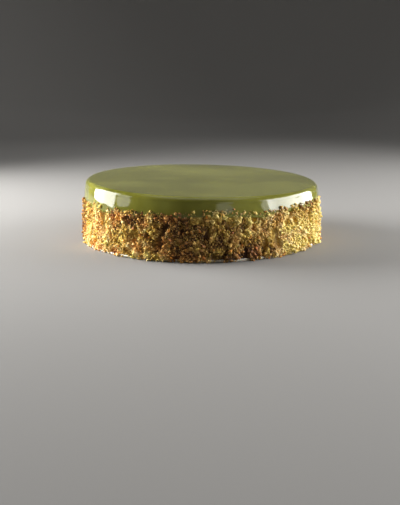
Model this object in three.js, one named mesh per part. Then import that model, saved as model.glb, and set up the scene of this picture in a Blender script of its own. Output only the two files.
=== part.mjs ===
// A round, single-tier cake that stands on its flat foot: about 207 mm across and 52 mm tall.
//
// Three solids lie on one another, from the foot up:
//   cream_foot       a thin layer of white cream under the whole cake, which shows as a line at the foot
//   crumb_coated_cake  the sponge with its coat of crumbs, solid, since nothing of its inside shows
//   pistachio_glaze  the green glaze: a flat top, a rounded shoulder and a skirt down the side
//
// Millimetres, +Z up, with the origin at the middle of the foot. +Y points to the back of the cake.
import * as THREE from "three";

// Heights, at the middle of the cake.
const FOOT_HEIGHT = 2; // thickness of the cream layer
const LINE_HEIGHT = 39.2; // where the crumbs stop and the glaze begins
const TOP_HEIGHT = 50;

// Radii.
const FOOT_RADIUS = 102.6;
const COAT_FOOT_RADIUS = 103.2; // the crumb coat just above the foot
const COAT_LINE_RADIUS = 101.3; // the crumb coat at its upper edge
const SKIRT_RADIUS = 100.4; // the glaze at its lower edge
const SHOULDER_RADIUS = 98.9; // the glaze where its rounded shoulder begins

// The glaze.
const GLAZE_THICKNESS = 3; // of the layer that covers the top
const SKIRT_THICKNESS = 3.6; // of the skirt, at its lower edge
const SHOULDER_ROUND = 4; // radius of the rounded shoulder
const CLEARANCE = 0.3; // between the glaze and the cake under it

// The top isn't quite level: its rim is this much higher on one side, towards this angle.
const RIM_RISE = 2.2;
const RISE_ANGLE = THREE.MathUtils.degToRad(148);

// Waves of the crumb line round the cake: how many, how high and turned by how many degrees.
const LINE_WAVES = [
  { count: 1, size: 1.1, turn: -50 },
  { count: 5, size: 0.7, turn: 45 },
  { count: 11, size: 0.6, turn: 17 },
  { count: 19, size: 0.5, turn: 4 },
];

// Waves of the foot's outline, where the cream was pressed out a little unevenly.
const FOOT_WAVES = [
  { count: 6, size: 0.3, turn: 20 },
  { count: 13, size: 0.2, turn: 5 },
];

// Lumps of the crumb coat: waves round the cake that also rise and fall up its side, once in so many
// millimetres of height. Each starts its rise at a height that sways round the cake, so that the
// lumps don't line up in rows.
const COAT_LUMPS = [
  { count: 11, size: 0.4, turn: 0, every: 37, sway: 3 },
  { count: 18, size: 0.4, turn: 8, every: 23, sway: 7 },
  { count: 27, size: 0.4, turn: 3, every: 15, sway: 4 },
];

const SEGMENTS = 144; // round the cake
const COAT_ROWS = 14; // up the crumb coat
const SHOULDER_STEPS = 5;

// The sum of some waves at an angle, in radians, and a height.
function sumOfWaves(waves, angle, height = 0) {
  return waves.reduce((sum, { count, size, turn, every = Infinity, sway = 0 }) => {
    const round = Math.cos(count * (angle - THREE.MathUtils.degToRad(turn)));
    const start = count + Math.PI * Math.sin(sway * angle);
    const upwards = Math.cos((2 * Math.PI * height) / every + start);
    return sum + size * round * (every === Infinity ? 1 : upwards);
  }, 0);
}

// How far the level surfaces rise above flat at one place of the cake.
function topRise(radius, angle) {
  return (RIM_RISE * radius * Math.cos(angle - RISE_ANGLE)) / SHOULDER_RADIUS;
}

// A nominal height as it really lies: the foot stays flat, the crumb line waves, and everything
// from the base of the shoulder up leans with the top.
function settledHeight(radius, angle, height) {
  const line = sumOfWaves(LINE_WAVES, angle);
  if (height <= LINE_HEIGHT) {
    const share = Math.max(0, (height - FOOT_HEIGHT) / (LINE_HEIGHT - FOOT_HEIGHT));
    return height + share * line;
  }
  const shoulderBase = TOP_HEIGHT - SHOULDER_ROUND;
  const share = Math.min(1, (height - LINE_HEIGHT) / (shoulderBase - LINE_HEIGHT));
  return height + (1 - share) * line + share * topRise(radius, angle);
}

// The outer radius of the crumb coat at a nominal height, before its lumps: it bulges towards the foot.
function coatRadius(height) {
  const share = (height - FOOT_HEIGHT) / (LINE_HEIGHT - FOOT_HEIGHT);
  return THREE.MathUtils.lerp(COAT_FOOT_RADIUS, COAT_LINE_RADIUS, share * share);
}

// Turns an outline of (radius, height) points about the Z axis, then moves each point of the
// surface to the radius and height that reshape gives for it.
function turned(outline, reshape) {
  const geometry = new THREE.LatheGeometry(outline, SEGMENTS).rotateX(Math.PI / 2);
  const places = geometry.getAttribute("position");
  for (let i = 0; i < places.count; i++) {
    const x = places.getX(i);
    const y = places.getY(i);
    const angle = Math.atan2(y, x);
    const made = reshape(Math.hypot(x, y), angle, places.getZ(i));
    places.setXYZ(i, made.radius * Math.cos(angle), made.radius * Math.sin(angle), made.height);
  }
  return geometry;
}

function piece(name, geometry, color, roughness) {
  const mesh = new THREE.Mesh(
    geometry,
    new THREE.MeshStandardMaterial({ color, roughness, metalness: 0 }),
  );
  mesh.name = name;
  return mesh;
}

function creamFoot() {
  const outline = [
    new THREE.Vector2(0, 0),
    new THREE.Vector2(FOOT_RADIUS, 0),
    new THREE.Vector2(FOOT_RADIUS, FOOT_HEIGHT),
    new THREE.Vector2(0, FOOT_HEIGHT),
  ];
  const geometry = turned(outline, (radius, angle, height) => ({
    radius: radius > 0 ? radius + sumOfWaves(FOOT_WAVES, angle) : 0,
    height,
  }));
  return piece("cream_foot", geometry, 0xf3ecdc, 0.55);
}

function crumbCoatedCake() {
  const neckRadius = SKIRT_RADIUS - SKIRT_THICKNESS - CLEARANCE;
  const coatTop = LINE_HEIGHT - CLEARANCE;
  const outline = [new THREE.Vector2(0, FOOT_HEIGHT)];
  for (let row = 0; row <= COAT_ROWS; row++) {
    const height = THREE.MathUtils.lerp(FOOT_HEIGHT, coatTop, row / COAT_ROWS);
    outline.push(new THREE.Vector2(coatRadius(height), height));
  }
  outline.push(new THREE.Vector2(neckRadius, coatTop));
  const roof = TOP_HEIGHT - GLAZE_THICKNESS - CLEARANCE;
  outline.push(new THREE.Vector2(neckRadius, roof), new THREE.Vector2(0, roof));
  const geometry = turned(outline, (radius, angle, height) => ({
    radius: radius > neckRadius + 1 ? radius + sumOfWaves(COAT_LUMPS, angle, height) : radius,
    height: settledHeight(radius, angle, height),
  }));
  return piece("crumb_coated_cake", geometry, 0xb98a45, 0.9);
}

function pistachioGlaze() {
  const innerRadius = SKIRT_RADIUS - SKIRT_THICKNESS;
  const roof = TOP_HEIGHT - GLAZE_THICKNESS;
  const middle = SHOULDER_RADIUS - SHOULDER_ROUND;
  const outline = [
    new THREE.Vector2(0, roof),
    new THREE.Vector2(innerRadius, roof),
    new THREE.Vector2(innerRadius, LINE_HEIGHT),
    new THREE.Vector2(SKIRT_RADIUS, LINE_HEIGHT),
  ];
  for (let step = 0; step <= SHOULDER_STEPS; step++) {
    const lean = ((Math.PI / 2) * step) / SHOULDER_STEPS;
    outline.push(
      new THREE.Vector2(
        middle + SHOULDER_ROUND * Math.cos(lean),
        TOP_HEIGHT - SHOULDER_ROUND * (1 - Math.sin(lean)),
      ),
    );
  }
  outline.push(new THREE.Vector2(0, TOP_HEIGHT));
  const geometry = turned(outline, (radius, angle, height) => ({
    radius,
    height: settledHeight(radius, angle, height),
  }));
  return piece("pistachio_glaze", geometry, 0x8d9440, 0.12);
}

const cake = new THREE.Group();
cake.add(creamFoot(), crumbCoatedCake(), pistachioGlaze());

export default cake;
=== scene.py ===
# %% [markdown]
# # A pistachio tres leches cake, step by step
#
# The cake is round and low. It has three things to look at: a mirror-smooth pistachio glaze with a
# rounded shoulder, a side packed with crumbs, and a thin line of whipped cream at the foot.
# The frame holds their sizes and places as plain solids. Each step below makes one piece or one
# finish, and puts it exactly where the frame says. Everything is in metres.

# %% Load the frame
import math
import random

import bmesh
import bpy
import numpy as np
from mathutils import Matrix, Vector, noise


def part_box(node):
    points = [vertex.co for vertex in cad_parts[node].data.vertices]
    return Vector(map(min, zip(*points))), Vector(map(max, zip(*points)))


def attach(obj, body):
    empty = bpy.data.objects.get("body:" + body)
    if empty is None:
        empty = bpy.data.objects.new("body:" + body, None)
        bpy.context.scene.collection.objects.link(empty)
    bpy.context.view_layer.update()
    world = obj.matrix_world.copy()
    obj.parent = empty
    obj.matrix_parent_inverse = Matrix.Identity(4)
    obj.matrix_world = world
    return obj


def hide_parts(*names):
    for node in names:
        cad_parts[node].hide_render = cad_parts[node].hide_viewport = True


noise.seed_set(7)  # without a seed it starts from the clock, and no two runs are alike

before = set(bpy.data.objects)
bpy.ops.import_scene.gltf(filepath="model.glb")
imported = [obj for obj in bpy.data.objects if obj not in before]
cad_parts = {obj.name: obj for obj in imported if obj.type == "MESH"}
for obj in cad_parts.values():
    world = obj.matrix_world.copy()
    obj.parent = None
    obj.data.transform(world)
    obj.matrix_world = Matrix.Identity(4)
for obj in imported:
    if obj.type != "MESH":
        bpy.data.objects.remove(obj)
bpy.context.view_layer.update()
MM = 0.001  # a millimetre, in metres
print("nodes:", sorted(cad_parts))

# %% [markdown]
# ## Colours
#
# A colour is given as an sRGB hex value, but shaders add up light, so they need it linear.
# Blender's colour picker does this turn by itself. A script has to do it, and one function is enough.


# %% Hex to linear
def linear(text):
    """The linear colour, with alpha 1, of an sRGB hex value such as "#8d9440"."""
    steps = [int(text[i : i + 2], 16) / 255 for i in (1, 3, 5)]
    return (*[s / 12.92 if s <= 0.04045 else ((s + 0.055) / 1.055) ** 2.4 for s in steps], 1.0)


print("pistachio green, linear:", [round(part, 3) for part in linear("#6c6b27")[:3]])

# %% [markdown]
# ## Nodes
#
# Materials and Geometry Nodes are both trees of nodes, and both could be drawn by hand in the node
# editor. A script repeats them exactly, so one function adds any node to any tree. It sets the
# node's settings and inputs, and links an input when it is given another node instead of a value.


# %% Add a node
def add_node(tree, kind, settings=None, inputs=None, stops=()):
    """Adds a node to a tree, with its settings.

    Each input is a value, an output to link, or a node whose first output is linked. The stops of
    a colour ramp are (place, sRGB hex) pairs.
    """
    node = tree.nodes.new(kind)
    for name, value in (settings or {}).items():
        setattr(node, name, value)
    for key, value in (inputs or {}).items():
        if isinstance(value, bpy.types.Node):
            value = value.outputs[0]
        if isinstance(value, bpy.types.NodeSocket):
            tree.links.new(value, node.inputs[key])
        else:
            node.inputs[key].default_value = value
    if stops:
        points = node.color_ramp.elements
        for _ in stops[2:]:
            points.new(0.5)
        for point, (spot, colour) in zip(points, stops):
            point.position = spot
            point.color = linear(colour)
    return node


def new_finish(name):
    """An empty material and its node tree."""
    finish = bpy.data.materials.new(name)
    finish.use_nodes = True
    finish.node_tree.nodes.clear()
    return finish, finish.node_tree


# %% [markdown]
# ## The camera
#
# A product shot of a cake is taken from a little above its top, with a lens that is longer than the
# eye's, so that the round top shows as a slim ellipse and the side stays nearly upright.
# The camera stands in front, at -Y, and looks down by 13 degrees.

# %% Camera
CAMERA_PLACE = Vector((-1.4, -657.4, 138.6)) * MM
CAMERA_PITCH = math.radians(90 - 13.2)  # from straight down up to the line of sight
CAMERA_LENS = 54.5

camera_data = bpy.data.cameras.new("camera")
camera_data.lens = CAMERA_LENS
camera = bpy.data.objects.new("camera", camera_data)
camera.location = CAMERA_PLACE
camera.rotation_euler = (CAMERA_PITCH, 0, 0)
bpy.context.scene.collection.objects.link(camera)
bpy.context.scene.camera = camera
print("camera: lens", CAMERA_LENS, "mm,", round(CAMERA_PLACE.length, 3), "m away")

# %% [markdown]
# ## Skins made of rings
#
# The studio floor, the glaze and the crumb bed are all round. Blender's Screw modifier turns one
# outline about an axis, which would do for the floor, but the glaze's edge waves and the bed is
# lumpy. So each of them is a stack of rings, and a ring can have any shape. A skin joins each ring
# to the next one with four-sided faces, and a ring of one point closes an end. The faces of a
# closed skin are turned outwards at the end, by the sign of the volume that they enclose.


# %% Points on a ring
def circle(count):
    """The angles of the points of a ring."""
    return [2 * math.pi * i / count for i in range(count)]


def at(radius, angle, height):
    """The point at a radius, an angle and a height."""
    return (radius * math.cos(angle), radius * math.sin(angle), height)


print("a ring of four points:", [tuple(round(x, 1) for x in at(1, a, 0)) for a in circle(4)])


# %% A skin over rings
def place(name, mesh, collection=None):
    """An object at the origin for a mesh, in the scene or in a collection."""
    made = bpy.data.objects.new(name, mesh)
    (collection or bpy.context.scene.collection).objects.link(made)
    return made


def turn_outwards(mesh):
    """Makes the faces of a closed mesh point outwards."""
    turned = bmesh.new()
    turned.from_mesh(mesh)
    if turned.calc_volume(signed=True) < 0:
        bmesh.ops.reverse_faces(turned, faces=turned.faces)
    turned.to_mesh(mesh)
    turned.free()


def ring_skin(name, rings, closed=True):
    """An object whose skin runs over rings of points. A ring of one point closes an end."""
    points, faces = [], []
    for ring, after in zip(rings, [*rings[1:], []]):
        first, second = len(points), len(points) + len(ring)
        points.extend(ring)
        count = max(len(ring), len(after)) if after else 0
        for i in range(count):
            j = (i + 1) % count
            if len(ring) == 1:
                faces.append((first, second + i, second + j))
            elif len(after) == 1:
                faces.append((first + i, second, first + j))
            else:
                faces.append((first + i, second + i, second + j, first + j))
    mesh = bpy.data.meshes.new(name)
    mesh.from_pydata(points, [], faces)
    if closed:
        turn_outwards(mesh)
    mesh.shade_smooth()
    print(name + ":", len(mesh.polygons), "faces")
    return place(name, mesh)


# %% [markdown]
# ## The studio: a floor that becomes a wall
#
# The floor is pale and curves up into a wall far away on all sides, as a photographer's cove does, so
# that no horizon shows. A plane and a backdrop would do for one view, but the cake is looked at
# from every side, and the flat top mirrors the wall at a low angle, so the wall stays dim and even.

# %% Floor and cove
FLOOR_RADIUS = 1.1
COVE_ROUND = 0.7
COVE_HEIGHT = 1.7
COVE_STEPS = 12
COVE_SEGMENTS = 96

cove_profile = [(FLOOR_RADIUS * share, 0.0) for share in (0.1, 0.3, 0.6, 1.0)]
for step in range(1, COVE_STEPS + 1):
    lean = math.radians(90 * step / COVE_STEPS)
    out, up = COVE_ROUND * math.sin(lean), COVE_ROUND * (1 - math.cos(lean))
    cove_profile.append((FLOOR_RADIUS + out, up))
cove_profile.append((FLOOR_RADIUS + COVE_ROUND, COVE_HEIGHT))
cove_rings = [[at(r, a, z) for a in circle(COVE_SEGMENTS)] for r, z in cove_profile]
cove = ring_skin("studio_cove", [[(0.0, 0.0, 0.0)], *cove_rings], closed=False)

# %% Paint of the cove
# Matt wall paint, rolled on: it gives the eye nothing but a soft pale grey without gloss.
paint, tree = new_finish("matt_studio_paint")
matt = add_node(
    tree, "ShaderNodeBsdfPrincipled", None,
    {"Base Color": linear("#8a8885"), "Roughness": 0.85, "Specular IOR Level": 0.2},
)
add_node(tree, "ShaderNodeOutputMaterial", None, {"Surface": matt})
cove.data.materials.append(paint)
print("paint:", paint.name)

# %% [markdown]
# ## The studio: lamps and white panels
#
# Glossy things show what stands round them, so the studio is part of the finish. A soft box stands
# on each side, a little behind the cake, and lights the crumbs from the side, which brings out
# their relief. White panels beside the soft boxes are what the glaze mirrors. Both could be
# one thing, but a lamp that lights the crumbs well is seldom where the highlight should be, so
# a panel shows only in glossy things, and a soft box only lights.


# %% Soft box
BEAM = math.radians(125)  # a fabric grid on a soft box keeps its light off the background
ALL_ROUND = math.radians(180)


def soft_box(name, turn, away, width, low, high, radiance, mirrored, shape="RECTANGLE"):
    """A soft box or a panel, turned from the camera's side by some degrees, that faces the cake.

    A mirrored one shows in glossy things and lights nothing; the other kind does the reverse.
    """
    light = bpy.data.lights.new(name, "AREA")
    light.shape = shape
    light.size = width
    light.size_y = high - low
    light.energy = radiance * math.pi * width * (high - low)
    light.spread = ALL_ROUND if mirrored else BEAM
    box = bpy.data.objects.new(name, light)
    box.location = at(away, math.radians(turn - 90), (low + high) / 2)
    aim = Vector((0, 0, (low + high) / 2)) - box.location
    box.rotation_euler = aim.to_track_quat("-Z", "Y").to_euler()
    box.visible_camera = False
    box.visible_glossy = mirrored
    box.visible_diffuse = not mirrored
    bpy.context.scene.collection.objects.link(box)
    print(name + ":", round(light.energy, 2), "W")


# %% Panels that the glaze mirrors
# A dim round panel in front of each bright one makes the highlight end softly.
soft_box("panel_left", -101, 0.62, width=0.36, low=0.01, high=0.42, radiance=14.0, mirrored=True)
soft_box(
    "panel_left_dim", -76, 0.62, width=0.20, low=0.03, high=0.36,
    radiance=3.0, mirrored=True, shape="ELLIPSE",
)
soft_box("panel_right", 96, 0.80, width=1.02, low=0.01, high=0.50, radiance=12.0, mirrored=True)
soft_box(
    "panel_right_dim", 59, 0.70, width=0.20, low=0.03, high=0.38,
    radiance=2.8, mirrored=True, shape="ELLIPSE",
)
# A small faint one gives the front a weak streak, and a wide dim one gives the top an even haze.
soft_box(
    "panel_front", 20, 0.62, width=0.16, low=0.06, high=0.20,
    radiance=1.0, mirrored=True, shape="ELLIPSE",
)
soft_box("panel_back", 180, 1.30, width=2.60, low=0.04, high=1.10, radiance=0.12, mirrored=True)

# %% Soft boxes and fill light
soft_box("key_left", -105, 0.62, width=0.56, low=0.01, high=0.42, radiance=16.0, mirrored=False)
soft_box("key_right", 97, 0.80, width=0.90, low=0.01, high=0.50, radiance=6.9, mirrored=False)

OVERHEAD_SIZE = 1.6
OVERHEAD_HEIGHT = 1.6
OVERHEAD_RADIANCE = 0.95
WORLD_STRENGTH = 0.12

overhead = bpy.data.lights.new("overhead", "AREA")
overhead.size = OVERHEAD_SIZE
overhead.energy = OVERHEAD_RADIANCE * math.pi * OVERHEAD_SIZE**2
overhead_box = bpy.data.objects.new("overhead", overhead)
overhead_box.location = (0, 0, OVERHEAD_HEIGHT)
overhead_box.visible_camera = False
bpy.context.scene.collection.objects.link(overhead_box)

world = bpy.data.worlds.new("dim_studio")
world.use_nodes = True
world.node_tree.nodes["Background"].inputs["Color"].default_value = linear("#9c9a96")
world.node_tree.nodes["Background"].inputs["Strength"].default_value = WORLD_STRENGTH
bpy.context.scene.world = world
bpy.context.scene.view_settings.view_transform = "Standard"
print("overhead:", round(overhead.energy, 2), "W, lights in all:", len(bpy.data.lights))

# %% [markdown]
# ## Reading the cake's sizes from the frame
#
# The glaze's solid in the frame has the height of the top, its slight lean and the wavy line where
# the crumbs begin. Those could be typed in again, but then they could drift apart from the frame.
# The solid's lower outer edge is the line, and its upward faces are the top, so both are read back
# from its mesh, and all the finer pieces follow them.

# %% Radii and heights
glaze_low, glaze_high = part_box("pistachio_glaze")
coat_low, coat_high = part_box("crumb_coated_cake")
foot_low, foot_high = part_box("cream_foot")
SKIRT_RADIUS = (glaze_high.x - glaze_low.x) / 2
COAT_RADIUS = (coat_high.x - coat_low.x) / 2
FOOT_RADIUS = (foot_high.x - foot_low.x) / 2
FOOT_HEIGHT = foot_high.z
print("radii in mm:", [round(r / MM, 1) for r in (SKIRT_RADIUS, COAT_RADIUS, FOOT_RADIUS)])

# %% Line between the crumbs and the glaze
EDGE_WITHIN = 0.3 * MM  # points of the solid this close to its widest are its lower outer edge

glaze_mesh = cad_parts["pistachio_glaze"].data
glaze_points = np.array([v.co for v in glaze_mesh.vertices])
glaze_radii = np.hypot(glaze_points[:, 0], glaze_points[:, 1])
edge = glaze_points[glaze_radii > SKIRT_RADIUS - EDGE_WITHIN]
edge_angles = np.arctan2(edge[:, 1], edge[:, 0])
edge_order = np.argsort(edge_angles)
edge_angles, edge_heights = edge_angles[edge_order], edge[edge_order, 2]


def line_height(angle):
    """The height of the line where the crumbs end and the glaze begins."""
    return float(np.interp(angle, edge_angles, edge_heights, period=2 * math.pi))


print("line from", round(edge_heights.min() / MM, 1), "to", round(edge_heights.max() / MM, 1), "mm")

# %% Leaning top
UPWARD = 0.995  # a face whose normal rises more than this is part of the top

top_corners = {i for face in glaze_mesh.polygons if face.normal.z > UPWARD for i in face.vertices}
top_points = glaze_points[sorted(top_corners)]
top_sums = np.column_stack([np.ones(len(top_points)), top_points[:, 0], top_points[:, 1]])
TOP_MIDDLE, TOP_LEAN_X, TOP_LEAN_Y = (
    float(x) for x in np.linalg.lstsq(top_sums, top_points[:, 2], rcond=None)[0]
)


def top_height(x, y):
    """The height of the leaning top above a place."""
    return TOP_MIDDLE + TOP_LEAN_X * x + TOP_LEAN_Y * y


print("top at", round(TOP_MIDDLE / MM, 2), "mm, slope", round(math.hypot(TOP_LEAN_X, TOP_LEAN_Y), 4))

# %% [markdown]
# ## The glaze
#
# A mirror glaze is poured warm over the chilled cake. It levels itself on the top, rounds off at the
# shoulder and runs down the side, where it sets a little uneven. It could be a subdivided cylinder,
# but a skin of rings gives the rounded shoulder its true radius and lets every ring follow
# the line of the crumbs. Slow noise, a fraction of a millimetre deep, makes the reflections swim as
# they do on a poured surface. The skirt goes on beneath the crumbs, so no gap can show.

# %% Sizes of the glaze
SHOULDER_ROUND = 4.0 * MM
SKIRT_FLARE = 1.5 * MM  # how much further out the skirt is than the shoulder
SKIRT_TUCK = 6.0 * MM  # how far the skirt goes on beneath the crumbs
SKIRT_THICKNESS = 3.6 * MM
GLAZE_THICKNESS = 3.0 * MM
SHOULDER_RADIUS = SKIRT_RADIUS - SKIRT_FLARE
TOP_RADIUS = SHOULDER_RADIUS - SHOULDER_ROUND
INNER_RADIUS = SKIRT_RADIUS - SKIRT_THICKNESS
print("flat top's radius:", round(TOP_RADIUS / MM, 1), "mm")

# %% Waves of the poured glaze
HILL_SCALE = 0.6  # divided by a size, it is the scale of noise whose hills are about that wide


def wander(point, size, seed=0):
    """Smooth noise from about -1 to 1, whose hills are about size metres wide."""
    shift = Vector((17.1, 31.7, 5.3)) * (seed + 1)
    return 1.6 * noise.noise(Vector(point) * (HILL_SCALE / size) + shift)


def top_swell(x, y):
    """How far the poured top stands above or below its plane: hardly, but a mirror shows it."""
    slow = 0.06 * wander((x, y, 0), 38 * MM, 1)
    quick = 0.01 * wander((x, y, 0), 13 * MM, 2)
    return (slow + quick) * MM


def glaze_wobble(angle, height):
    """How far the poured side stands out or in at an angle and a height."""
    spot = at(SKIRT_RADIUS, angle, height * 0.5)
    return (0.28 * wander(spot, 15 * MM, 3) + 0.18 * wander(spot, 6 * MM, 4)) * MM


swells = [top_swell(*at(TOP_RADIUS / 2, a, 0)[:2]) / MM for a in circle(60)]
print("swell of the top from", round(min(swells), 3), "to", round(max(swells), 3), "mm")


# %% Rings of the glaze
def top_ring(radius, drop, angles, wobble):
    """A ring of the top or the shoulder, at a radius and at a depth below the leaning top."""
    ring = []
    for angle in angles:
        reach = radius + wobble * glaze_wobble(angle, TOP_MIDDLE - drop)
        x, y, _ = at(reach, angle, 0)
        ring.append((x, y, top_height(x, y) + top_swell(x, y) - drop))
    return ring


def skirt_ring(share, angles):
    """A ring of the skirt, from the shoulder's foot at share 0 to the tucked edge at 1."""
    ring = []
    for angle in angles:
        x, y, _ = at(SHOULDER_RADIUS, angle, 0)
        start = top_height(x, y) + top_swell(x, y) - SHOULDER_ROUND
        end = line_height(angle) - SKIRT_TUCK
        height = start + (end - start) * share
        radius = SHOULDER_RADIUS + SKIRT_FLARE * math.sin(share * math.pi / 2)
        ring.append(at(radius + glaze_wobble(angle, height), angle, height))
    return ring


# %% Pour the glaze
GLAZE_SEGMENTS = 720
TOP_RINGS = 36
TOP_CROWDING = 0.8  # below 1, the rings of the top lie closer together towards the shoulder
SHOULDER_RINGS = 14
SKIRT_RINGS = 18

glaze_angles = circle(GLAZE_SEGMENTS)
glaze_rings = [[(0.0, 0.0, top_height(0, 0) + top_swell(0, 0))]]
for step in range(1, TOP_RINGS + 1):
    glaze_rings.append(top_ring(TOP_RADIUS * (step / TOP_RINGS) ** TOP_CROWDING, 0, glaze_angles, 0))
for step in range(1, SHOULDER_RINGS + 1):
    lean = math.radians(90 * step / SHOULDER_RINGS)
    reach = TOP_RADIUS + SHOULDER_ROUND * math.sin(lean)
    drop = SHOULDER_ROUND * (1 - math.cos(lean))
    glaze_rings.append(top_ring(reach, drop, glaze_angles, step / SHOULDER_RINGS))
for step in range(1, SKIRT_RINGS + 1):
    glaze_rings.append(skirt_ring(step / SKIRT_RINGS, glaze_angles))

# The inside of the skirt and the underside, which the cake hides.
glaze_rings.append([at(INNER_RADIUS, a, line_height(a) - SKIRT_TUCK) for a in glaze_angles])
inner_edge = [at(INNER_RADIUS, a, 0) for a in glaze_angles]
glaze_rings.append([(x, y, top_height(x, y) - GLAZE_THICKNESS) for x, y, _ in inner_edge])
glaze_rings.append([(0.0, 0.0, TOP_MIDDLE - GLAZE_THICKNESS)])
glaze = ring_skin("glaze", glaze_rings)

# %% [markdown]
# ### Finish: mirror glaze with pistachio
#
# Condensed milk, white chocolate, gelatine and pistachio paste, poured and set. Milk makes it opaque
# with a faint depth, which a little subsurface scattering gives. Gelatine makes it shine like
# lacquer, so it is a smooth dielectric. The paste gives an olive green that drifts slowly where
# the glaze was moved with a palette knife, so the drift is drawn out sideways, along the strokes.

# %% Glaze finish
glaze_finish, tree = new_finish("poured_pistachio_mirror_glaze")
own_place = add_node(tree, "ShaderNodeTexCoord").outputs["Object"]
strokes = add_node(tree, "ShaderNodeMapping", None, {"Vector": own_place, "Scale": (1.0, 2.2, 1.0)})
drift = add_node(
    tree, "ShaderNodeTexNoise", None,
    {"Vector": strokes, "Scale": HILL_SCALE / (46 * MM), "Detail": 3.0, "Roughness": 0.55},
)
green = add_node(
    tree, "ShaderNodeValToRGB", None, {"Fac": drift},
    stops=[(0.3, "#5e5d1e"), (0.5, "#6c6b27"), (0.7, "#7c7b36")],
)
ripples = add_node(
    tree, "ShaderNodeTexNoise", None,
    {"Vector": own_place, "Scale": HILL_SCALE / (9 * MM), "Detail": 2.0, "Roughness": 0.5},
)
rippled = add_node(
    tree, "ShaderNodeBump", None, {"Height": ripples, "Strength": 0.05, "Distance": 0.2 * MM}
)
lacquer = add_node(
    tree, "ShaderNodeBsdfPrincipled", None,
    {
        "Base Color": green,
        "Roughness": 0.07,
        "IOR": 1.46,
        "Subsurface Weight": 0.25,
        "Subsurface Radius": (1.0, 0.9, 0.35),
        "Subsurface Scale": 1.0 * MM,
        "Normal": rippled,
    },
)
add_node(tree, "ShaderNodeOutputMaterial", None, {"Surface": lacquer})
glaze.data.materials.append(glaze_finish)
print("glaze finish:", len(tree.nodes), "nodes")

# %% [markdown]
# ## The crumb bed
#
# Under the loose crumbs, the side of the cake is a bed of crushed sponge, pressed on by hand: lumps as
# wide as a fingertip, smaller clumps on them, grains, and narrow dark pits between. It could be
# a smooth wall with a bump map, but pits that deep have to be real to throw a shadow, and to show
# at the outline. So one function gives the radius of the surface at each angle and height, and
# both the bed and the band on which the crumbs are scattered follow it.

# %% Sizes of the crumb bed
LUMP = 0.5 * MM
CLUMP = 1.3 * MM
GRAIN = 0.8 * MM
PIT = 2.3 * MM
BED_DEPTH = 1.8 * MM  # how far the bed's seams lie behind the crumbs' outer face
TUCK_START = 2.2 * MM  # below the crumbs' upper edge, where the bed starts to slip under the glaze
BED_FOOT = FOOT_HEIGHT - 0.4 * MM  # the bed sits a little into the cream
print("tallest grain on a clump:", round((CLUMP + GRAIN + 1.7 * LUMP) / MM, 2), "mm")

# %% Upper edge and outer face of the crumbs
# Where the glaze ran further down: the angle and the half width in degrees, and the depth.
SAGS = [
    (-171, 12, 2.4 * MM),
    (-127, 2.5, 1.4 * MM),
    (-109, 8, 2.8 * MM),
    (-77, 5, -0.6 * MM),
    (-14, 13, 1.8 * MM),
    (62, 9, 1.5 * MM),
    (118, 5, 1.8 * MM),
]


def crumb_line(angle):
    """The height of the upper edge of the crumbs, before it goes ragged."""
    height = line_height(angle) - 1.0 * MM
    for middle, width, depth in SAGS:
        away = math.remainder(angle - math.radians(middle), 2 * math.pi)
        height -= depth * math.exp(-((math.degrees(away) / width) ** 2))
    return height


def side_radius(angle, height):
    """The nominal radius of the crumbed side: it bulges towards the foot."""
    share = (height - FOOT_HEIGHT) / (line_height(angle) - FOOT_HEIGHT)
    foot = COAT_RADIUS - 0.8 * MM
    return foot + (SKIRT_RADIUS + 0.2 * MM - foot) * max(0.0, share) ** 2


edges = [crumb_line(a) / MM for a in circle(360)]
print("crumbs end between", round(min(edges), 1), "and", round(max(edges), 1), "mm")


# %% Lumps and pits
def ease(x):
    """0 below 0 and 1 above 1, with a soft start and end between."""
    x = min(1.0, max(0.0, x))
    return x * x * (3 - 2 * x)


def lumps(spot):
    """The soft lumps of the side, in metres."""
    return LUMP * (wander(spot, 17 * MM, 5) + 0.7 * wander(spot, 8 * MM, 6))


def pits(spot):
    """From 0 to 1 inside the upright pits of the side."""
    tall = Vector((spot[0], spot[1], spot[2] * 0.45))
    return ease((wander(tall, 4.2 * MM, 7) - 0.32) / 0.28)


spots = [at(COAT_RADIUS, a, 20 * MM) for a in circle(1000)]
print("share of the side that is pit:", round(sum(map(pits, spots)) / len(spots), 2))


# %% Clumps and grains
def nuggets(spot, size, seed):
    """The bulge and the tone, both from 0 to 1, of round lumps packed side by side."""
    bent = Vector(spot) / size
    bent = bent + 0.35 * noise.noise_vector(bent * 1.7) + Vector((7.7, 3.1, 9.9)) * seed
    distances, centres = noise.voronoi(bent)
    tone = noise.cell(centres[0] * 31.7)
    return (0.4 + 0.6 * tone) * max(0.0, 1 - (distances[0] / 0.85) ** 2), tone


print("mean bulge of the grains:", round(sum(nuggets(s, 1.5 * MM, 2)[0] for s in spots) / len(spots), 2))


# %% Surface of the bed
def bed_surface(angle, height):
    """The radius of the crumb bed, and the tones of the grain and the clump there with painted shade,
    from 0 to 1.
    """
    spot = at(COAT_RADIUS, angle, height)
    clump, clump_tone = nuggets((spot[0], spot[1], spot[2] * 0.7), 5.0 * MM, 1)
    grain, grain_tone = nuggets(spot, 1.5 * MM, 2)
    pit = pits(spot)
    relief = CLUMP * clump + GRAIN * grain + lumps(spot) - PIT * pit
    radius = side_radius(angle, height) - BED_DEPTH + relief
    tucked = ease((height - crumb_line(angle) + TUCK_START) / (TUCK_START + 0.2 * MM))
    radius += (SKIRT_RADIUS - 0.9 * MM - radius) * tucked
    # The grain's tone is darkened in the seams between grains and in the pits, the clump's in the pits:
    # painted shade.
    return radius, grain_tone * (0.35 + 0.65 * grain) * (1 - pit), clump_tone * (1 - 0.8 * pit)


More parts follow.
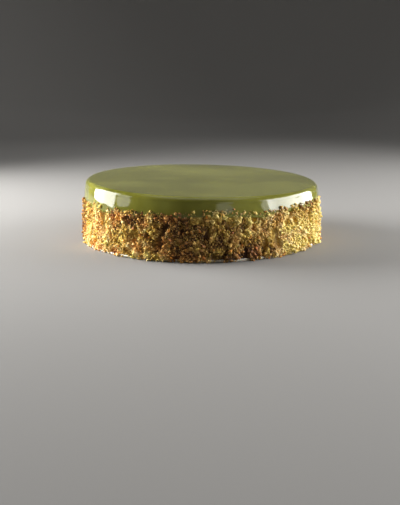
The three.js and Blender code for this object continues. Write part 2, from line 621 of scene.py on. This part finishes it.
def blondness_and_painted_light(angle, height, clump_tone):
    """How blond the crumbs are, from 0 for well browned to 1: slow patches, lump by lump, with painted
    light and shade.
    """
    # Seed 16 puts brown at the shaded front middle and blond on the lit left and right: painted shade
    # and light.
    slow = 0.65 * wander(at(COAT_RADIUS, angle, height), 26 * MM, 16)
    slow += 0.13 * math.cos(angle - math.radians(-35))  # one side of the cake is blonder
    under_glaze = ease((height - crumb_line(angle) + 4 * MM) / (3 * MM))
    # Through the clump's tone the pits get painted shade; the crumbs are browner just under the glaze.
    return min(1.0, max(0.0, 0.36 + slow + 0.4 * clump_tone - 0.2 * under_glaze))


# %% Build the crumb bed
BED_SEGMENTS = 1200
BED_ROWS = 78
BED_TOP = -0.6 * MM  # where the bed ends, measured from the line


def give_values(piece, name, values):
    """Stores one number for each of the first points of a piece's mesh, and 0.5 for the rest."""
    filled = values + [0.5] * (len(piece.data.vertices) - len(values))
    piece.data.attributes.new(name, "FLOAT", "POINT").data.foreach_set("value", filled)


bed_angles = circle(BED_SEGMENTS)
bed_rings, bed_tones_with_painted_shade, bed_blondness_and_painted_light = [[(0.0, 0.0, BED_FOOT)]], [0.5], [0.5]
for row in range(BED_ROWS + 1):
    ring = []
    for angle in bed_angles:
        height = BED_FOOT + (line_height(angle) + BED_TOP - BED_FOOT) * row / BED_ROWS
        radius, tone, clump_tone = bed_surface(angle, height)
        ring.append(at(radius, angle, height))
        bed_tones_with_painted_shade.append(tone)
        bed_blondness_and_painted_light.append(blondness_and_painted_light(angle, height, clump_tone))
    bed_rings.append(ring)

# The cake under the glaze, which nothing shows.
neck_radius = INNER_RADIUS - 0.3 * MM
roof = TOP_MIDDLE - GLAZE_THICKNESS - 3 * MM
bed_rings.append([at(neck_radius, a, line_height(a) + BED_TOP) for a in bed_angles])
bed_rings.append([at(neck_radius, a, roof) for a in bed_angles])
bed_rings.append([(0.0, 0.0, roof)])
crumb_bed = ring_skin("crumb_bed", bed_rings)
# The bed's shade is its grains' tone with painted shade in the seams and pits.
give_values(crumb_bed, "shade", bed_tones_with_painted_shade)
# The bed's blondness carries painted shade in the pits and at the front middle, and painted light on the
# lit sides.
give_values(crumb_bed, "blondness_and_painted_light", bed_blondness_and_painted_light)
print("mean blondness:", round(sum(bed_blondness_and_painted_light) / len(bed_blondness_and_painted_light), 2))

# %% [markdown]
# ## Where the crumbs stick
#
# The host for the scatter is an open band that follows the bed, so that crumbs line its pits too, and
# that lies on the glaze above it. Its points have a `cover` from 0 to 1, which says how likely a
# crumb is there: few in the pits, a ragged end at the glaze, and a ragged end at the foot, which
# is higher where the cream shows. They could be painted by hand as weights, but a rule is quicker.

# %% Ends of the crumbs
CREAM_SIDE = math.radians(-142)  # the front left, where the cream came out furthest


def crumb_top(angle, height):
    """The ragged upper end of the crumbs."""
    spot = at(COAT_RADIUS, angle, height)
    ragged = 0.6 * wander(spot, 6 * MM, 10) + 0.4 * wander(spot, 2.5 * MM, 11)
    return crumb_line(angle) + ragged * MM


def crumb_foot(angle):
    """The ragged lower end of the crumbs, higher at the cream's side."""
    bare = ease((math.cos(angle - CREAM_SIDE) - 0.92) / 0.06)
    spot = at(COAT_RADIUS, angle, 0)
    return (0.4 * bare + 0.3 * wander(spot, 5 * MM, 12)) * MM


def band_cover(angle, height):
    """How likely a crumb is at an angle and a height."""
    spot = at(COAT_RADIUS, angle, height)
    above = ease((crumb_top(angle, height) - height) / (0.7 * MM))
    below = ease((height - crumb_foot(angle)) / (0.5 * MM))
    return above * below * (1 - 0.9 * pits(spot))


feet = [crumb_foot(a) / MM for a in circle(360)]
print("crumbs start between", round(min(feet), 2), "and", round(max(feet), 2), "mm")

# %% Band for the crumbs
BAND_SEGMENTS = 720
BAND_ROWS = 60
BAND_LOW = 0.5 * MM
BAND_OVER = 2.2 * MM  # how far the band climbs onto the glaze, for stray crumbs

band_rings, band_covers, band_blondness_and_painted_light = [], [], []
for row in range(BAND_ROWS + 1):
    ring = []
    for angle in circle(BAND_SEGMENTS):
        end = line_height(angle) + BAND_OVER
        height = BAND_LOW + (end - BAND_LOW) * row / BAND_ROWS
        over = ease((height - crumb_line(angle) + 1.5 * MM) / (1.5 * MM))
        radius, _, clump_tone = bed_surface(angle, height)
        radius += (SKIRT_RADIUS - 0.2 * MM - radius) * over
        ring.append(at(radius, angle, height))
        band_covers.append(band_cover(angle, height))
        band_blondness_and_painted_light.append(blondness_and_painted_light(angle, height, clump_tone))
    band_rings.append(ring)
band = ring_skin("crumb_band", band_rings, closed=False)
give_values(band, "cover", band_covers)
# The band's blondness carries painted shade in the pits and at the front middle, and painted light on
# the lit sides.
give_values(band, "blondness_and_painted_light", band_blondness_and_painted_light)
print("mean cover:", round(float(np.mean(band_covers)), 2))

# %% [markdown]
# ## The shapes of the crumbs
#
# No two crumbs are alike, but twelve shapes of each kind, turned and sized at random, are enough. A
# broken nut has flat faces, which a convex hull round a few random points gives. A crumb of
# sponge is a small ball with dents, so it is an icosphere pushed about by noise. Each shape is
# about one unit across, with few faces, because thousands of copies are made.


# %% Broken chips
def hull_shape(name, collection, corners, stretch, seed):
    """A broken chip: the convex hull round random points in a stretched ball."""
    chance = random.Random(seed)
    chip = bmesh.new()
    for _ in range(corners):
        ray = Vector([chance.gauss(0, 1) for _ in range(3)]).normalized()
        ray *= 0.5 * chance.uniform(0.75, 1.0)
        chip.verts.new([ray[i] * stretch[i] for i in range(3)])
    made = bmesh.ops.convex_hull(chip, input=chip.verts)
    bmesh.ops.delete(chip, geom=[v for v in made["geom_interior"]], context="VERTS")
    bmesh.ops.recalc_face_normals(chip, faces=chip.faces)
    mesh = bpy.data.meshes.new(name)
    chip.to_mesh(mesh)
    chip.free()
    return place(name, mesh, collection)


# %% Dented balls
def dented_shape(name, collection, fineness, stretch, dent, seed):
    """A crumb of sponge: a small ball whose skin is pushed in and out by noise."""
    ball = bmesh.new()
    bmesh.ops.create_icosphere(ball, subdivisions=fineness, radius=0.5)
    for corner in ball.verts:
        push = 1 + dent * wander(corner.co, 0.35, seed)
        corner.co = Vector([corner.co[i] * push * stretch[i] for i in range(3)])
    bmesh.ops.recalc_face_normals(ball, faces=ball.faces)
    mesh = bpy.data.meshes.new(name)
    ball.to_mesh(mesh)
    ball.free()
    mesh.shade_smooth()
    return place(name, mesh, collection)


# %% Twelve of each
def shape_set(kind, make, count=12, **choices):
    """A hidden collection with some shapes of one kind of crumb."""
    collection = bpy.data.collections.new(kind + "_shapes")
    made = [make(f"{kind}_{i}", collection, seed=100 + i, **choices) for i in range(count)]
    print(kind + ":", count, "shapes of", len(made[0].data.polygons), "faces or so")
    return collection


sponge_shapes = shape_set("sponge", dented_shape, fineness=2, stretch=(1.0, 0.85, 0.7), dent=0.7)
crumb_shapes = shape_set("crumb", dented_shape, fineness=1, stretch=(1.0, 0.85, 0.75), dent=0.8)
flake_shapes = shape_set("flake", hull_shape, corners=12, stretch=(1.0, 0.7, 0.32))
nut_shapes = shape_set("nut", hull_shape, corners=16, stretch=(1.0, 0.72, 0.6))

# %% [markdown]
# ## Scattering with Geometry Nodes
#
# One node tree scatters any kind of crumb. It throws points over the band no closer than a set
# spacing, puts a random shape on each, turns and sizes it, and presses it into the bed. A
# particle system could do this too, but the export drops one, so the tree ends in real geometry.
# Each crumb keeps a random `shade`, which its material turns into a colour.


# %% Trees with named inputs
def new_tree(name, inputs):
    """A Geometry Nodes tree with inputs by name and kind after its host, and what they give."""
    tree = bpy.data.node_groups.new(name, "GeometryNodeTree")
    for label, kind in {"Host": "Geometry", **inputs}.items():
        tree.interface.new_socket(label, in_out="INPUT", socket_type="NodeSocket" + kind)
    tree.interface.new_socket("Piece", in_out="OUTPUT", socket_type="NodeSocketGeometry")
    return tree, add_node(tree, "NodeGroupInput").outputs


def grow(name, tree, host, inputs):
    """A plain mesh piece that a node tree makes from a host mesh."""
    socket_ids = {item.name: item.identifier for item in tree.interface.items_tree}
    carrier = place(name + "_carrier", host)
    modifier = carrier.modifiers.new("tree", "NODES")
    modifier.node_group = tree
    for label, value in inputs.items():
        modifier[socket_ids[label]] = value
    seen = carrier.evaluated_get(bpy.context.evaluated_depsgraph_get())
    mesh = bpy.data.meshes.new_from_object(seen)
    mesh.name = name
    carrier.modifiers.remove(modifier)
    bpy.data.objects.remove(carrier)
    mesh.calc_loop_triangles()
    print(name + ":", len(mesh.loop_triangles), "triangles")
    return place(name, mesh)


# %% Random numbers for each crumb
def draw_numbers(tree, given):
    """A random number for each use in the scatter tree, each with a seed of its own."""
    back = add_node(tree, "ShaderNodeMath", {"operation": "MULTIPLY"}, {0: given["Tumble"], 1: -1.0})
    inward = add_node(tree, "ShaderNodeMath", {"operation": "MULTIPLY"}, {0: given["Sink"], 1: -1.0})
    ranges = {  # the lowest, the highest, and what is added to the seed
        "shade": (0.0, 1.0, 0),
        "tilt x": (back, given["Tumble"], 11),
        "tilt y": (back, given["Tumble"], 23),
        "spin": (0.0, 2 * math.pi, 37),
        "share": (0.0, 1.0, 53),
        "depth": (inward, given["Stand out"], 71),
    }
    drawn = {}
    for use, (low, high, step) in ranges.items():
        seed = add_node(
            tree, "ShaderNodeMath", {"operation": "ADD"}, {0: given["Seed"], 1: float(step)}
        )
        number = add_node(
            tree, "FunctionNodeRandomValue", {"data_type": "FLOAT"}, {2: low, 3: high, "Seed": seed}
        )
        drawn[use] = number.outputs[1]
    return drawn


# %% Turn, size and press each crumb
def put_shapes(tree, given, points, drawn):
    """A random shape on each point, tumbled, more often small than large, and pressed in."""
    turn = add_node(
        tree, "ShaderNodeCombineXYZ", None,
        {"X": drawn["tilt x"], "Y": drawn["tilt y"], "Z": drawn["spin"]},
    )
    turned = add_node(
        tree, "FunctionNodeRotateRotation", {"rotation_space": "LOCAL"},
        {"Rotation": points.outputs["Rotation"], "Rotate By": turn},
    )
    small = add_node(tree, "ShaderNodeMath", {"operation": "POWER"}, {0: drawn["share"], 1: 1.7})
    size = add_node(
        tree, "ShaderNodeMapRange", None, {0: small, 3: given["Smallest"], 4: given["Largest"]}
    )
    outward = add_node(
        tree, "ShaderNodeVectorMath", {"operation": "SCALE"},
        {0: points.outputs["Normal"], "Scale": drawn["depth"]},
    )
    pressed = add_node(
        tree, "GeometryNodeSetPosition", None,
        {"Geometry": points.outputs["Points"], "Offset": outward},
    )
    shapes = add_node(
        tree, "GeometryNodeCollectionInfo", None,
        {"Collection": given["Shapes"], "Separate Children": True, "Reset Children": True},
    )
    return add_node(
        tree, "GeometryNodeInstanceOnPoints", None,
        {
            "Points": pressed, "Instance": shapes, "Pick Instance": True,
            "Rotation": turned, "Scale": size,
        },
    )


# %% Stop at the floor
def lift(tree, crumbs):
    """Crumbs with no point below a tenth of a millimetre, so that none hangs through the floor."""
    spot = add_node(tree, "GeometryNodeInputPosition")
    parts = add_node(tree, "ShaderNodeSeparateXYZ", None, {0: spot}).outputs
    floor = add_node(tree, "ShaderNodeMath", {"operation": "MAXIMUM"}, {0: parts["Z"], 1: 0.1 * MM})
    lifted = add_node(
        tree, "ShaderNodeCombineXYZ", None, {"X": parts["X"], "Y": parts["Y"], "Z": floor}
    )
    return add_node(tree, "GeometryNodeSetPosition", None, {"Geometry": crumbs, "Position": lifted})


# %% Scatter tree
def build_scatter_tree():
    """The node tree that scatters crumbs over a mesh with a `cover` attribute."""
    lengths = ["Spacing", "Density", "Smallest", "Largest", "Tumble", "Sink", "Stand out"]
    tree, given = new_tree(
        "scatter_crumbs",
        {"Shapes": "Collection", "Finish": "Material", **dict.fromkeys(lengths, "Float"), "Seed": "Int"},
    )
    cover = add_node(
        tree, "GeometryNodeInputNamedAttribute", {"data_type": "FLOAT"}, {"Name": "cover"}
    )
    points = add_node(
        tree, "GeometryNodeDistributePointsOnFaces", {"distribute_method": "POISSON"},
        {
            "Mesh": given["Host"],
            "Distance Min": given["Spacing"],
            "Density Max": given["Density"],
            "Density Factor": cover.outputs["Attribute"],
            "Seed": given["Seed"],
        },
    )
    drawn = draw_numbers(tree, given)
    crumbs = put_shapes(tree, given, points, drawn)
    shaded = add_node(
        tree, "GeometryNodeStoreNamedAttribute", {"data_type": "FLOAT", "domain": "INSTANCE"},
        {"Geometry": crumbs, "Name": "shade", "Value": drawn["shade"]},
    )
    real = add_node(tree, "GeometryNodeRealizeInstances", None, {0: shaded})
    finished = add_node(
        tree, "GeometryNodeSetMaterial", None,
        {"Geometry": lift(tree, real), "Material": given["Finish"]},
    )
    add_node(tree, "NodeGroupOutput", None, {0: finished})
    return tree


scatter_tree = build_scatter_tree()
print("scatter tree:", len(scatter_tree.nodes), "nodes")

# %% [markdown]
# ## Finish: crumbs
#
# All crumbs are dry and matt, and differ in colour. A crumb takes a colour from its kind's range by
# its own `shade` and by slow patches of blondness, which push the whole side a little towards brown
# or blond: partly as more or less crust in the crush does, and partly as painted shade in the pits
# and at the front middle and painted light on the lit left and right. A tint, orange here and yellow
# there, is laid over it in patches of 8 mm, with more yellow towards the right. The open pores of a
# sponge are a tenth of a millimetre, too fine to show, so they are drawn as coarse as 0.6 mm. The
# crumbs could have one flat colour each, but the hollows of their pores are darkened as painted shade.


# %% Crumb finish
PATCHINESS = 0.72  # share of the slow patches in a crumb's colour; the rest is its own shade
YELLOWING = 0.55  # for each metre to the right, against tint noise from 0 to 1
TINTS = [(0.35, "#ffce92"), (0.45, "#fffaf0"), (0.57, "#eef08c")]


def crumb_finish(name, stops, roughness=0.75, painted_pore_darkening=0.38, tinted=0.6):
    """A crumb's material: its colours by shade and patch, with a tint and pores over them, and painted
    shade in the pores.
    """
    finish, tree = new_finish(name)
    own_place = add_node(tree, "ShaderNodeTexCoord").outputs["Object"]
    own = add_node(tree, "ShaderNodeAttribute", {"attribute_name": "shade"}).outputs["Fac"]
    slow = add_node(tree, "ShaderNodeAttribute", {"attribute_name": "blondness_and_painted_light"}).outputs["Fac"]
    leaned = add_node(
        tree, "ShaderNodeMix", {"data_type": "FLOAT"}, {0: PATCHINESS, 2: own, 3: slow}
    )
    colour = add_node(tree, "ShaderNodeValToRGB", None, {"Fac": leaned}, stops=stops)
    patches = add_node(
        tree, "ShaderNodeTexNoise", None,
        {"Vector": own_place, "Scale": HILL_SCALE / (8 * MM), "Detail": 2.0, "Roughness": 0.5},
    )
    across = add_node(tree, "ShaderNodeSeparateXYZ", None, {0: own_place}).outputs["X"]
    yellower = add_node(
        tree, "ShaderNodeMath", {"operation": "MULTIPLY_ADD"}, {0: across, 1: YELLOWING, 2: patches}
    )
    tint = add_node(tree, "ShaderNodeValToRGB", None, {"Fac": yellower}, stops=TINTS)
    warmed = add_node(
        tree, "ShaderNodeMix", {"data_type": "RGBA", "blend_type": "MULTIPLY"},
        {0: tinted, 6: colour, 7: tint},
    )
    pores = add_node(
        tree, "ShaderNodeTexNoise", None,
        {"Vector": own_place, "Scale": HILL_SCALE / (0.6 * MM), "Detail": 3.0, "Roughness": 0.65},
    )
    # Low pore noise, the hollows of the bump, is darkened: painted shade.
    painted_shade_in_pores = add_node(
        tree, "ShaderNodeValToRGB", None, {"Fac": pores}, stops=[(0.32, "#ac987c"), (0.55, "#ffffff")]
    )
    pored = add_node(
        tree, "ShaderNodeMix", {"data_type": "RGBA", "blend_type": "MULTIPLY"},
        {0: painted_pore_darkening, 6: warmed.outputs[2], 7: painted_shade_in_pores},
    )
    pitted = add_node(
        tree, "ShaderNodeBump", None, {"Height": pores, "Strength": 0.7, "Distance": 0.3 * MM}
    )
    matt = add_node(
        tree, "ShaderNodeBsdfPrincipled", None,
        {"Base Color": pored.outputs[2], "Roughness": roughness, "IOR": 1.45, "Normal": pitted},
    )
    add_node(tree, "ShaderNodeOutputMaterial", None, {"Surface": matt})
    print(name + ":", [colour for _, colour in stops])
    return finish


# %% Finishes of sponge
# The bed is the same crush pressed flat, with painted shade where it lies deep: from nearly
# black-brown in the seams and pits to the blond of its highest grains.
bed_finish = crumb_finish(
    "crushed_sponge_bed",
    [(0.08, "#4e3212"), (0.25, "#a37c3a"), (0.5, "#d4b064"), (0.75, "#efd692")], roughness=0.8,
)
crumb_bed.data.materials.append(bed_finish)

# Sponge rubbed through a sieve and toasted: it gives the side its golden brown.
golden = crumb_finish(
    "toasted_sponge_crumb",
    [(0.15, "#8c6026"), (0.35, "#bc9446"), (0.55, "#dcb866"), (0.8, "#f2dc9c")],
)

# The pale middle of the same sponge, left untoasted: it gives the side its light specks.
blond = crumb_finish(
    "blond_sponge_crumb",
    [(0.1, "#c8a456"), (0.5, "#e6cc86"), (0.9, "#f6e8bc")],
)

# %% Finishes of crust and nuts
# The baked skin of the sponge, broken into flakes: red-brown specks with a slight sheen.
brown = crumb_finish(
    "browned_crust_flake",
    [(0.1, "#5a3012"), (0.5, "#8a4c1e"), (0.9, "#b47636")], roughness=0.6,
)

# Pistachios chopped with a knife, which leaves smooth faces: a few dull green glints.
green = crumb_finish(
    "chopped_pistachio",
    [(0.1, "#7a7428"), (0.5, "#a49c40"), (0.9, "#c8c060")], roughness=0.6, painted_pore_darkening=0.3, tinted=0.0,
)

# Nuts chopped and toasted in their oil: the few warm amber pieces, smoother than any crumb.
amber = crumb_finish(
    "chopped_toasted_nut",
    [(0.1, "#b0641c"), (0.5, "#d08e30"), (0.9, "#e8b858")], roughness=0.5, painted_pore_darkening=0.25, tinted=0.0,
)

# %% [markdown]
# ## The crumbs, kind by kind
#
# Sizes and numbers follow what a sieve would find: a few nut pieces of up to 5 mm, clusters of sponge
# of 2 to 3.5 mm, many crumbs of 1 to 2 mm, and fine ones below a millimetre that fill what is left.
# Large ones are pressed deep into the bed and fine ones stick to its face. Each kind is a piece
# of its own, because one piece of all of them would be too heavy to export.


# %% One kind of crumb
def scatter(name, shapes, finish, seed, spacing, density, sizes, sink, stand_out, tumble=3.1):
    """A piece of crumbs on the band: lengths in millimetres, density for each square metre."""
    inputs = {
        "Shapes": shapes,
        "Finish": finish,
        "Spacing": spacing * MM,
        "Density": density,
        "Smallest": sizes[0] * MM,
        "Largest": sizes[1] * MM,
        "Tumble": tumble,
        "Sink": sink * MM,
        "Stand out": stand_out * MM,
        "Seed": seed,
    }
    return grow(name, scatter_tree, band.data, inputs)


# %% Clusters and crumbs of sponge
crumb_pieces = [
    scatter(
        "crumb_clusters", sponge_shapes, golden, seed=1, spacing=2.6, density=1.3e5,
        sizes=(1.8, 3.6), sink=1.1, stand_out=-0.4,
    ),
    scatter(
        "crumbs_golden", crumb_shapes, golden, seed=2, spacing=0.98, density=8e5,
        sizes=(0.9, 2.1), sink=0.5, stand_out=0.1,
    ),
    scatter(
        "crumbs_blond", crumb_shapes, blond, seed=3, spacing=1.6, density=2.4e5,
        sizes=(0.9, 2.0), sink=0.4, stand_out=0.1,
    ),
]

# %% Flakes, pistachios and nuts
# A flake and a large nut lie flat on the side, so they tumble less.
crumb_pieces += [
    scatter(
        "crust_flakes", flake_shapes, brown, seed=4, spacing=2.3, density=1e5,
        sizes=(0.9, 2.3), sink=0.2, stand_out=0.2, tumble=0.9,
    ),
    scatter(
        "pistachio_bits", nut_shapes, green, seed=5, spacing=3.2, density=6e4,
        sizes=(0.9, 1.9), sink=0.3, stand_out=0.1,
    ),
    scatter(
        "nut_chunks", nut_shapes, amber, seed=6, spacing=7.0, density=2e4,
        sizes=(2.6, 4.8), sink=0.8, stand_out=-0.2, tumble=0.6,
    ),
]

# %% Fine crumbs
crumb_pieces.append(
    scatter(
        "crumbs_fine", crumb_shapes, blond, seed=7, spacing=0.9, density=7e5,
        sizes=(0.5, 1.0), sink=0.0, stand_out=0.3,
    )
)
bpy.data.objects.remove(band)
print("triangles of crumbs:", sum(len(piece.data.loop_triangles) for piece in crumb_pieces))

# %% [markdown]
# ## The cream foot
#
# The cake was set down on a thin layer of whipped cream, which squeezed out into a soft, uneven
# bead. It is a flat disc whose edge is rounded, wanders by half a millimetre, and comes out
# further on one side. That is a rule, so Geometry Nodes can make it from a plain cylinder: each
# point moves to its place on the round edge, and then outwards by as much as the cream gives.


# %% Round edge of the cream
def round_edge(tree, given, parts):
    """For points of a cylinder: their height on a half-round edge, and how far in they move."""
    half = add_node(tree, "ShaderNodeMath", {"operation": "MULTIPLY"}, {0: given["Height"], 1: 0.5})
    rate = add_node(tree, "ShaderNodeMath", {"operation": "DIVIDE"}, {0: math.pi, 1: given["Height"]})
    lean = add_node(tree, "ShaderNodeMath", {"operation": "MULTIPLY"}, {0: parts["Z"], 1: rate})
    sine = add_node(tree, "ShaderNodeMath", {"operation": "SINE"}, {0: lean})
    cosine = add_node(tree, "ShaderNodeMath", {"operation": "COSINE"}, {0: lean})
    height = add_node(
        tree, "ShaderNodeMath", {"operation": "MULTIPLY_ADD"}, {0: half, 1: sine, 2: half}
    )
    lack = add_node(tree, "ShaderNodeMath", {"operation": "SUBTRACT"}, {0: cosine, 1: 1.0})
    inset = add_node(tree, "ShaderNodeMath", {"operation": "MULTIPLY"}, {0: half, 1: lack})
    return height, inset


# %% Reach of the cream
SQUEEZED_FROM = 0.9  # cosine of the angle off the squeezed side at which the cream starts to come out
SQUEEZED_FULLY = 0.98  # and of the angle within which it is out as far as it comes


def cream_reach(tree, given, level, outward, inset):
    """How far a point moves outwards: by the squeeze, by slow waves, and in by the round edge."""
    facing = add_node(
        tree, "ShaderNodeVectorMath", {"operation": "DOT_PRODUCT"},
        {0: outward, 1: given["Squeezed side"]},
    )
    squeezed = add_node(
        tree, "ShaderNodeMapRange", {"interpolation_type": "SMOOTHSTEP"},
        {
            0: facing.outputs["Value"],
            1: SQUEEZED_FROM, 2: SQUEEZED_FULLY, 3: 0.0, 4: given["Squeezed out"],
        },
    )
    waves = add_node(
        tree, "ShaderNodeTexNoise", None,
        {"Vector": level, "Scale": HILL_SCALE / (13 * MM), "Detail": 1.0},
    )
    centred = add_node(tree, "ShaderNodeMath", {"operation": "SUBTRACT"}, {0: waves, 1: 0.5})
    uneven = add_node(
        tree, "ShaderNodeMath", {"operation": "MULTIPLY_ADD"},
        {0: centred, 1: given["Unevenness"], 2: inset},
    )
    return add_node(tree, "ShaderNodeMath", {"operation": "ADD"}, {0: squeezed, 1: uneven})


# %% Cream tree
CREAM_SEGMENTS = 720
CREAM_ROWS = 12


def build_cream_tree():
    """The node tree of a disc with a round edge, which comes out further at one side."""
    lengths = ["Radius", "Height", "Squeezed out", "Unevenness"]
    tree, given = new_tree(
        "squeezed_cream",
        {**dict.fromkeys(lengths, "Float"), "Squeezed side": "Vector", "Finish": "Material"},
    )
    disc = add_node(
        tree, "GeometryNodeMeshCylinder", {"fill_type": "TRIANGLE_FAN"},
        {
            "Vertices": CREAM_SEGMENTS, "Side Segments": CREAM_ROWS,
            "Radius": given["Radius"], "Depth": given["Height"],
        },
    )
    spot = add_node(tree, "GeometryNodeInputPosition")
    parts = add_node(tree, "ShaderNodeSeparateXYZ", None, {0: spot}).outputs
    level = add_node(tree, "ShaderNodeCombineXYZ", None, {"X": parts["X"], "Y": parts["Y"]})
    outward = add_node(tree, "ShaderNodeVectorMath", {"operation": "NORMALIZE"}, {0: level})
    height, inset = round_edge(tree, given, parts)
    reach = cream_reach(tree, given, level, outward, inset)
    pushed = add_node(tree, "ShaderNodeVectorMath", {"operation": "SCALE"}, {0: outward, "Scale": reach})
    flat = add_node(tree, "ShaderNodeVectorMath", {"operation": "ADD"}, {0: level, 1: pushed})
    raised = add_node(tree, "ShaderNodeCombineXYZ", None, {"Z": height})
    shaped = add_node(tree, "ShaderNodeVectorMath", {"operation": "ADD"}, {0: flat, 1: raised})
    bead = add_node(
        tree, "GeometryNodeSetPosition", None, {"Geometry": disc.outputs["Mesh"], "Position": shaped}
    )
    soft = add_node(tree, "GeometryNodeSetShadeSmooth", None, {"Geometry": bead})
    real = add_node(tree, "GeometryNodeRealizeInstances", None, {0: soft})
    finished = add_node(
        tree, "GeometryNodeSetMaterial", None, {"Geometry": real, "Material": given["Finish"]}
    )
    add_node(tree, "NodeGroupOutput", None, {0: finished})
    return tree


# %% [markdown]
# ### Finish: whipped cream
#
# Cream beaten to soft peaks and smoothed by the weight of the cake. Its tiny fat drops scatter
# light deep inside, so it looks soft and warm white without being bright, and its fine air
# bubbles, drawn here at about a millimetre to show at all, leave it with hardly any shine.

# %% Cream finish
cream_finish, tree = new_finish("whipped_cream")
own_place = add_node(tree, "ShaderNodeTexCoord").outputs["Object"]
tone = add_node(
    tree, "ShaderNodeTexNoise", None,
    {"Vector": own_place, "Scale": HILL_SCALE / (5 * MM), "Detail": 3.0, "Roughness": 0.5},
)
cream_white = add_node(
    tree, "ShaderNodeValToRGB", None, {"Fac": tone}, stops=[(0.3, "#e4dac4"), (0.6, "#f1ead9")]
)
bubbles = add_node(
    tree, "ShaderNodeTexNoise", None,
    {"Vector": own_place, "Scale": HILL_SCALE / (1.2 * MM), "Detail": 3.0, "Roughness": 0.5},
)
bubbled = add_node(
    tree, "ShaderNodeBump", None, {"Height": bubbles, "Strength": 0.3, "Distance": 0.3 * MM}
)
soft_white = add_node(
    tree, "ShaderNodeBsdfPrincipled", None,
    {
        "Base Color": cream_white,
        "Roughness": 0.5,
        "IOR": 1.45,
        "Subsurface Weight": 0.4,
        "Subsurface Radius": (1.0, 0.8, 0.6),
        "Subsurface Scale": 1.5 * MM,
        "Normal": bubbled,
    },
)
add_node(tree, "ShaderNodeOutputMaterial", None, {"Surface": soft_white})
print("cream finish:", len(tree.nodes), "nodes")

# %% Cream foot
cream = grow(
    "cream", build_cream_tree(), bpy.data.meshes.new("cream_base"),
    {
        "Radius": FOOT_RADIUS - 2.1 * MM,
        "Height": FOOT_HEIGHT,
        "Squeezed side": at(1.0, CREAM_SIDE, 0.0),
        "Squeezed out": 1.8 * MM,
        "Unevenness": 1.3 * MM,
        "Finish": cream_finish,
    },
)

# %% [markdown]
# ## Handing the pieces to the frame
#
# Every piece rides on the cake's one body. The solids that they replace stay in the frame for
# collisions, but no longer show.

# %% Ride and replace
parts_of_cake = [
    (glaze, "pistachio_glaze", "pistachio_glaze"),
    (crumb_bed, "crumb_coated_cake", "crumb_coat"),
    (cream, "cream_foot", "cream"),
]
parts_of_cake += [(piece, "crumb_coated_cake", "crumb_coat") for piece in crumb_pieces]
for piece, node, slot in parts_of_cake:
    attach(piece, "root")
    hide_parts(node)
print("pieces:", len(parts_of_cake))
